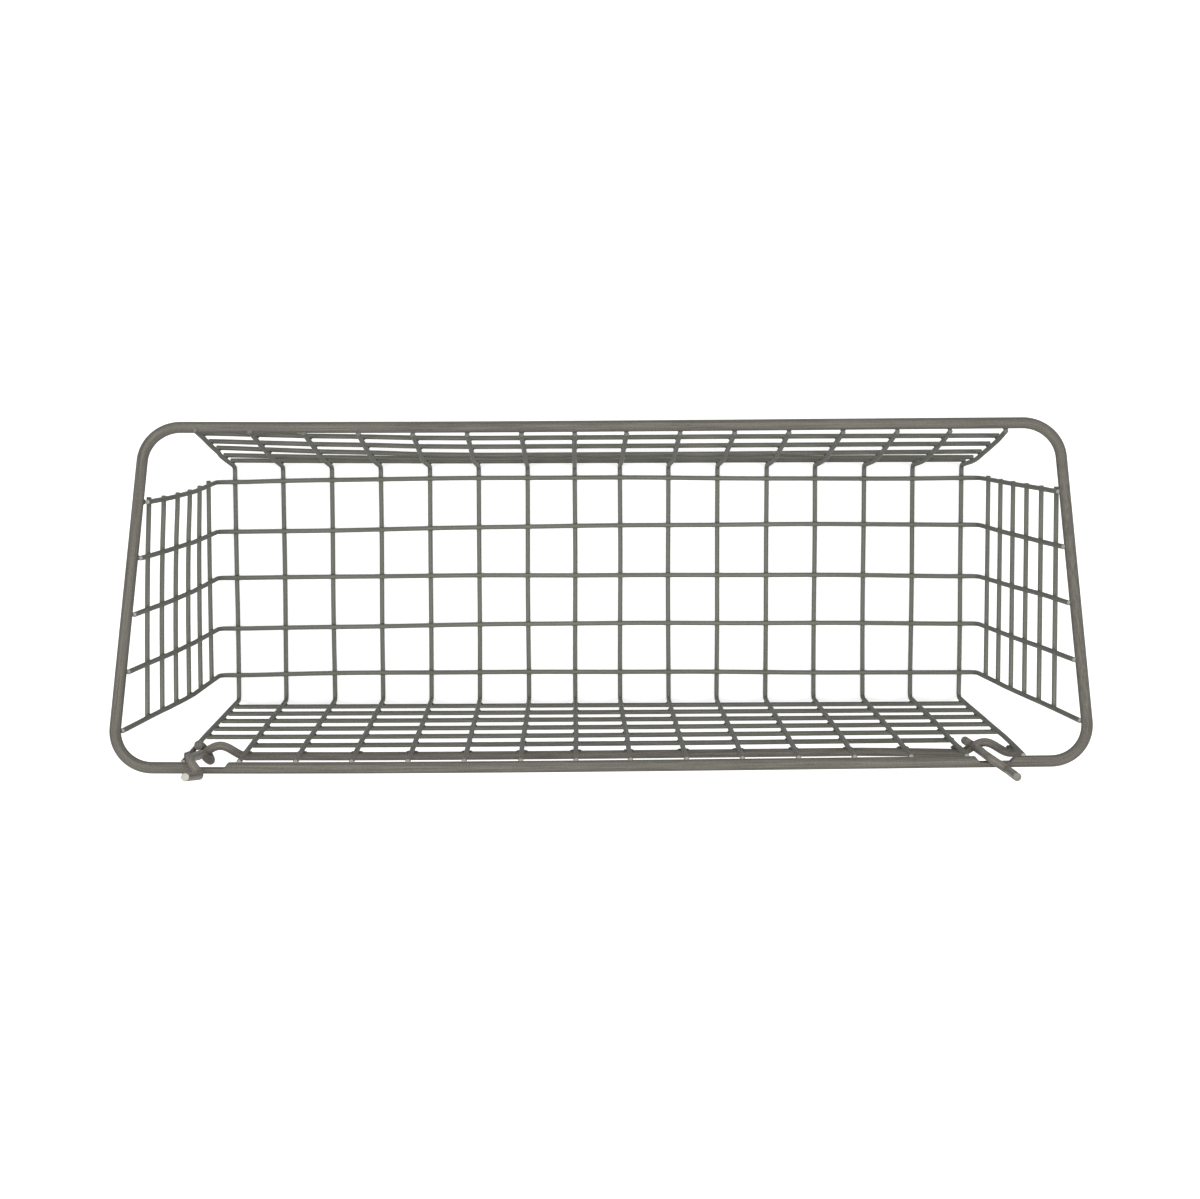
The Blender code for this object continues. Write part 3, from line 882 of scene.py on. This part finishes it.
jog_stations = JOG_X + np.linspace(-JOG_HALF_WIDTH, JOG_HALF_WIDTH, 49)
half = np.concatenate([np.arange(0, JOG_X - 13, 8.0), jog_stations, [CROSS_X[-1] + ROD_OVERHANG]])
xs = np.concatenate([-half[:0:-1], half])
follows_wall = 0.9 * skew(xs) * np.interp(np.abs(xs), [120.0, 164.0], [1.0, 0.0])
rod_path = np.stack([xs, jog_y(xs) + follows_wall, np.full(len(xs), ROD_Z)], axis=1)
shape = tube(rod_path, (0, 0, 1), ROD_RADIUS, sides=32)
make_piece("hanger_rod", *shape, [rod_lacquer], nodes=["hook_rod"], slot="hook_rod_wire", skewed=False)
print("rod length in mm:", xs[-1] - xs[0])

# %% [markdown]
# ## The hooks' outline
# A hook is one piece of thick wire, bent in one plane. It starts as an eye round the jog, goes
# straight up as a shank, back over the rim as a short peg, and up again as the end that goes behind
# the board. It is worked out flat first, as (back, up) from the middle of the eye, and then turned
# into place, because a bent wire is easier to check while it lies flat.

# %% Outline of a hook
HOOK_RADIUS = 1.9
EYE_RADIUS = 4.7
NECK_RADIUS = 4.0
EYE_END_ANGLE = 140.0
SHANK_TOP = 34.5
PEG_LENGTH = 9.6
PEG_ANGLE = -1.5
TIP_LENGTH = 27.0
TIP_ANGLE = 94.5
PEG_BEND_RADIUS = 3.6


def arc(centre, radius, start, end, steps):
    """Points on a circle between two angles in radians, as (back, up)."""
    angles = np.linspace(start, end, steps + 1)
    return centre + radius * np.stack([np.cos(angles), np.sin(angles)], axis=1)


def hook_outline():
    """The hook's centre line, from the eye's open end round under the rod to the cut tip.

    The neck's arc touches the eye's from outside, so their centres lie the sum of the radii
    apart, and sqrt(eye^2 + 2 * eye * neck) is the neck's height over the eye's middle.
    """
    neck_height = math.sqrt(EYE_RADIUS**2 + 2 * EYE_RADIUS * NECK_RADIUS)
    joint = math.atan2(neck_height, NECK_RADIUS)
    eye = arc((0, 0), EYE_RADIUS, math.radians(EYE_END_ANGLE), 2 * math.pi + joint, 48)
    neck = arc((NECK_RADIUS, neck_height), NECK_RADIUS, math.pi + joint, math.pi, 12)
    peg, tip = np.radians([PEG_ANGLE, TIP_ANGLE])
    top = np.array([0.0, SHANK_TOP])
    heel = top + PEG_LENGTH * np.array([math.cos(peg), math.sin(peg)])
    end = heel + TIP_LENGTH * np.array([math.cos(tip), math.sin(tip)])
    rest = rounded([neck[-1], top, heel, end], [0, PEG_BEND_RADIUS, PEG_BEND_RADIUS, 0], 14)
    return spaced(np.concatenate([eye, neck[1:-1], rest]), 3.0)


print("wire in one hook, in mm:", round(np.linalg.norm(np.diff(hook_outline(), axis=0), axis=1).sum(), 1))

# %% [markdown]
# ## The hooks in place
# Both hooks hang loose, so each lies at its own angle. The object itself could be turned, but a
# finished piece stays unturned, so the turn goes into its points.


# %% Make the hooks
def add_hook(name, node, body, end_material, eye_x, yaw, lean, roll):
    """A hook in its place: its plane is turned by yaw, tipped over by roll and leans forward."""
    eye = np.array([eye_x, jog_y(eye_x), ROD_Z])
    yaw, lean, roll = np.radians([yaw, lean, roll])
    back = np.array([-math.sin(yaw), math.cos(yaw), 0.0])
    right = np.array([math.cos(yaw), math.sin(yaw), 0.0])
    up = np.array([0.0, 0.0, math.cos(roll)]) + right * math.sin(roll)
    leaned_back = back * math.cos(lean) + up * math.sin(lean)
    leaned_up = up * math.cos(lean) - back * math.sin(lean)
    outline = hook_outline()
    path = eye + outline[:, :1] * leaned_back + outline[:, 1:] * leaned_up
    shape = tube(path, np.cross(back, up), HOOK_RADIUS, sides=40, edge=0.2)
    hook = make_piece(name, *shape, [rod_lacquer, end_material], body=body, nodes=[node],
                      slot="peg_hook_wire", skewed=False)
    bare_ends(hook, start=False)
    print(name, "ends at a height of", round(float(path[-1, 2]), 1), "mm")


# The left hook's cut end is the dull one, darkened with painted shade.
add_hook("left_hook_wire", "peg_hook_left", "left_hook", dull_shaded_cut, -172.7, yaw=56.0, lean=-2.5, roll=-2.0)
add_hook("right_hook_wire", "peg_hook_right", "right_hook", bright_cut, 185.1, yaw=36.5, lean=6.2, roll=0.0)

# %% [markdown]
# ## A weld
# Spot welding presses two hot wires into each other, and a little metal flows out round the
# contact. Merging the wires with a boolean would fuse pieces that are separate, so each weld here
# is a small flattened ball between two wires. There are hundreds, so a ball has only eight sides
# and six bands.

# %% Welds as small balls
BALL_SIDES = 8
BALL_BANDS = 6


def balls(centres, radii):
    """Many small balls: point(u, v) = centre + radii * (cos u sin v, sin u sin v, cos v)."""
    u = np.arange(BALL_SIDES) * 2 * math.pi / BALL_SIDES
    v = np.linspace(0, math.pi, BALL_BANDS + 1)[1:-1]
    grid = np.stack([np.outer(np.sin(v), np.cos(u)), np.outer(np.sin(v), np.sin(u)),
                     np.outer(np.cos(v), np.ones(BALL_SIDES))], axis=2).reshape(-1, 3)
    unit_ball = np.concatenate([[[0, 0, 1.0]], grid, [[0, 0, -1.0]]])
    points = np.asarray(centres)[:, None] + unit_ball[None] * np.asarray(radii)[:, None]
    pole = len(unit_ball) - 1
    ring = np.arange(BALL_BANDS - 2)[:, None] * BALL_SIDES + 1
    here = np.arange(BALL_SIDES)
    after = (here + 1) % BALL_SIDES
    quads = np.stack([ring + here, ring + BALL_SIDES + here, ring + BALL_SIDES + after, ring + after], axis=2)
    top = np.stack([here * 0, 1 + here, 1 + after], axis=1)
    bottom = np.stack([here * 0 + pole, pole - BALL_SIDES + after, pole - BALL_SIDES + here], axis=1)
    first = np.arange(len(points))[:, None, None] * len(unit_ball)
    faces = (quads.reshape(-1, 4)[None] + first).reshape(-1, 4).tolist()
    faces += (np.concatenate([top, bottom])[None] + first).reshape(-1, 3).tolist()
    return points.reshape(-1, 3), faces


def add_welds(name, centres, radii, seed, spread=0.12):
    """Welds of one kind, each a little larger or smaller than the next."""
    random = np.random.default_rng(seed)
    sizes = np.asarray(radii) * (1 + spread * random.uniform(-1, 1, (len(centres), 3)))
    points, faces = balls(np.asarray(centres, float), sizes)
    make_piece(name, points, faces, points, [weld_lacquer])
    print(name, len(centres))


def spots(indices, levels, place):
    """Weld centres: place(index, level) for every wire index and level."""
    return [place(index, level) for index in indices for level in levels]


print("faces of one weld:", len(balls([(0, 0, 0)], [(1, 1, 1)])[1]))

# %% [markdown]
# ## Welds of the floor and the walls
# A weld sits between the middles of its two wires, so its place follows from the wires' own
# formulas, and it stays with them however they stray. The weld is flat in the direction in which
# the wires were pressed together.

# %% Weld the floor and the walls
# How far a weld's middle lies from the middle of the wire that it sits on.
WELD_SEAT = 1.1


def on_cross(index, level, y):
    """A place on a cross wire, at this height."""
    return (CROSS_X[index] + cross_shift(index, level), y, level)


def on_back(index, level):
    """A place behind a cross wire, on the back wall."""
    return on_cross(index, level, back_wall_y(level) + WELD_SEAT)


def on_side(index, level, sign):
    """A place outside a side wall's leg."""
    y = LONG_Y[index] + leg_shift(index, sign * LEG_X, level)
    return (side_rail_x(y, level, sign) - sign * WELD_SEAT - inward(sign, y, level), y, level)


add_welds("floor_welds", spots(range(16), range(5), lambda i, j: (
    CROSS_X[i] + CROSS_SHIFT[i], LONG_Y[j] + long_shift(j, CROSS_X[i]), CROSS_FLOOR_Z + WELD_SEAT)),
    (1.35, 1.35, 0.8), seed=1)
add_welds("front_wall_welds", spots(range(16), RAIL_Z[:5], lambda i, z: on_cross(
    i, z, front_rail_y(z) - front_bulge(CROSS_X[i], z) + WELD_SEAT)), (1.5, 0.8, 1.3), seed=2)
add_welds("back_wall_welds", spots(range(16), RAIL_Z[:5], on_back) + spots(range(1, 15), RAIL_Z[5:], on_back),
          (1.6, 0.8, 1.3), seed=3)
add_welds("side_wall_welds", spots(range(5), SIDE_RAIL_Z, lambda i, z: on_side(i, z, -1)) +
          spots(range(5), SIDE_RAIL_Z, lambda i, z: on_side(i, z, 1)), (0.8, 1.0, 1.5), seed=4)

# %% [markdown]
# ## Welds of the rim and the rod
# Here thin wires are welded to thick ones. The welds on the rim are round, and those on the rod are
# wide, because more metal flows along the thick rod.

# %% Weld the rim and the rod
# How far a weld's middle lies out from a leg's end, and how far below it.
FRONT_RIM_WELD = (1.3, 1.0)
SIDE_RIM_WELD = (1.0, 1.2)
SIDE_LEG_TOP_Z = 160.0


def on_side_rim(index, sign):
    """A place beside the top of a side wall's leg: outside it and below its end."""
    out, up = side_top(LONG_Y[index], sign)
    y = LONG_Y[index] + leg_shift(index, sign * LEG_X, SIDE_LEG_TOP_Z)
    return (sign * (out + SIDE_RIM_WELD[0]), y, up - SIDE_RIM_WELD[1])


rim_welds = spots(range(16), [FRONT_TOP[1] - FRONT_RIM_WELD[1]], lambda i, z: on_cross(
    i, z, -FRONT_TOP[0] - FRONT_RIM_WELD[0] - 0.5 * front_bulge(CROSS_X[i], z)))
rim_welds += spots(range(16), [RIM_BACK[1] - 1.0], on_back)
rim_welds += spots(range(5), (-1, 1), on_side_rim)
add_welds("rim_welds", rim_welds, (1.3, 1.3, 1.3), seed=5)
add_welds("rod_welds", spots(range(16), [ROD_Z], on_back), (3.0, 1.0, 1.5), seed=6)

# %% [markdown]
# ## White for the camera and for reflections
# The photograph has a plain white ground. More light on the floor would turn it white, but would
# bleach the wires too. So a material can ask what kind of ray it answers, and look white to the
# camera, in reflections and through glass, while it throws little light back at the wires.


# %% Rays that see the background
def background_rays(tree):
    """1 for rays from the camera, in reflections and through glass, and 0 for all other rays."""
    rays = add_node(tree, "ShaderNodeLightPath")
    seen = add_node(tree, "ShaderNodeMath", {"operation": "MAXIMUM"},
                    {0: (rays, "Is Camera Ray"), 1: (rays, "Is Glossy Ray")})
    return add_node(tree, "ShaderNodeMath", {"operation": "MAXIMUM"},
                    {0: (seen, 0), 1: (rays, "Is Transmission Ray")})


print("the camera, reflections and glass see the background, and nothing else does")

# %% [markdown]
# ## The studio floor
# The floor stands for matt white paper, which keeps the basket's soft shadow. A picture of paper
# isn't needed, because no grain shows at this distance. A glow, which grows with the distance,
# keeps it white where the lamps no longer reach. Other rays meet a matt grey instead.

# %% Floor material
GLOW_NEAR = 0.4
GLOW_FAR = 1.8

floor_material = bpy.data.materials.new("White studio floor")
floor_material.use_nodes = True
tree = floor_material.node_tree
tree.nodes.remove(tree.nodes["Principled BSDF"])
plain = add_node(tree, "ShaderNodeBsdfDiffuse", {"Color": (0.18, 0.18, 0.18, 1)})
white = add_node(tree, "ShaderNodeBsdfDiffuse", {"Color": (0.9, 0.9, 0.9, 1)})
place = add_node(tree, "ShaderNodeTexCoord")
distance = add_node(tree, "ShaderNodeVectorMath", {"operation": "LENGTH"}, {0: (place, "Object")})
fill = add_node(tree, "ShaderNodeMapRange",
                {"From Min": GLOW_NEAR, "From Max": GLOW_FAR, "To Min": 0.5, "To Max": 1.0},
                {"Value": (distance, "Value")})
glow = add_node(tree, "ShaderNodeEmission", {"Color": (1, 1, 1, 1)}, {"Strength": (fill, "Result")})
bright = add_node(tree, "ShaderNodeAddShader", links={0: (white, 0), 1: (glow, 0)})
mixed = add_node(tree, "ShaderNodeMixShader",
                 links={0: (background_rays(tree), 0), 1: (plain, 0), 2: (bright, 0)})
tree.links.new(mixed.outputs[0], tree.nodes["Material Output"].inputs["Surface"])
print("nodes in the floor's material:", len(tree.nodes))

# %% [markdown]
# One large square is floor enough.

# %% Floor
FLOOR_REACH = 6.0
FLOOR_Z = -0.0004

floor_mesh = bpy.data.meshes.new("studio_floor")
floor_corners = [(x * FLOOR_REACH, y * FLOOR_REACH, FLOOR_Z) for x, y in ((-1, -1), (1, -1), (1, 1), (-1, 1))]
floor_mesh.from_pydata(floor_corners, [], [(0, 1, 2, 3)])
floor_mesh.materials.append(floor_material)
studio_floor = bpy.data.objects.new("studio_floor", floor_mesh)
bpy.context.scene.collection.objects.link(studio_floor)
print("floor size in m:", 2 * FLOOR_REACH)

# %% [markdown]
# ## The room
# The world stands for a pale room all round. It gives a weak even light, which keeps the shaded
# sides of the wires from going black, and the camera and reflections see it as white.

# %% World
ROOM_LIGHT = 0.27
world = bpy.data.worlds.new("studio")
bpy.context.scene.world = world
world.use_nodes = True
tree = world.node_tree
strength = add_node(tree, "ShaderNodeMapRange", {"To Min": ROOM_LIGHT, "To Max": 1.0},
                    {"Value": (background_rays(tree), 0)})
tree.links.new(strength.outputs["Result"], tree.nodes["Background"].inputs["Strength"])
tree.nodes["Background"].inputs["Color"].default_value = (1, 1, 1, 1)
print("room light:", ROOM_LIGHT)

# %% [markdown]
# ## Lamps
# One bare lamp would draw a thin hard highlight on every wire. Three square soft lamps, one over
# the basket and one high at each end, wrap the light round the wires, and each wire's two sides
# are lit alike, as in the photograph.


# %% Lamps
def add_lamp(name, location, target, size, power):
    """A square soft lamp that points from its location at the target."""
    lamp = bpy.data.lights.new(name, "AREA")
    lamp.size = size
    lamp.energy = power
    holder = bpy.data.objects.new(name, lamp)
    holder.location = location
    holder.rotation_euler = (Vector(target) - Vector(location)).to_track_quat("-Z", "Y").to_euler()
    bpy.context.scene.collection.objects.link(holder)
    print(name, power, "W")


BASKET_MIDDLE = (0, 0, 0.1)
add_lamp("overhead_softbox", (0.1, -0.2, 1.9), BASKET_MIDDLE, 1.0, 11.0)
add_lamp("left_softbox", (-1.05, 0.0, 1.75), BASKET_MIDDLE, 0.7, 11.5)
add_lamp("right_softbox", (1.05, 0.0, 1.75), BASKET_MIDDLE, 0.7, 11.5)

# %% [markdown]
# ## Camera
# The photograph was taken from almost straight above, with the basket's front at the top of the
# picture. A camera could be set by eye. Here its place, turn and focal length come from the
# basket's own mesh: the crossings of the floor wires and the ends of the wires on the rim, as the
# photograph shows them, fix one view. Its turn is given by two directions: to the right in the
# picture, and back from the basket to the viewer.

# %% Camera
PHOTO_WIDTH_PX = 1200
CAMERA_FOCAL_PX = 2476.8
CAMERA_PLACE = (0.0138, (-121.8 + MIDDLE_WIRE_Y) * MM, 1.3019)
CAMERA_RIGHT = (-0.99993, 0.00285, 0.01135)
CAMERA_BACKWARD = (0.0110, -0.1028, 0.9947)

camera_data = bpy.data.cameras.new("photo_camera")
camera_data.sensor_fit = "HORIZONTAL"
camera_data.sensor_width = 36.0
camera_data.lens = camera_data.sensor_width * CAMERA_FOCAL_PX / PHOTO_WIDTH_PX
camera = bpy.data.objects.new("photo_camera", camera_data)
right = Vector(CAMERA_RIGHT).normalized()
backward = Vector(CAMERA_BACKWARD)
backward = (backward - right * backward.dot(right)).normalized()
upward = backward.cross(right)
turn = Matrix((right, upward, backward)).transposed().to_4x4()
camera.matrix_world = Matrix.Translation(CAMERA_PLACE) @ turn
bpy.context.scene.collection.objects.link(camera)
bpy.context.scene.camera = camera
bpy.context.scene.view_settings.view_transform = "Standard"
print("focal length in mm:", round(camera_data.lens, 1))
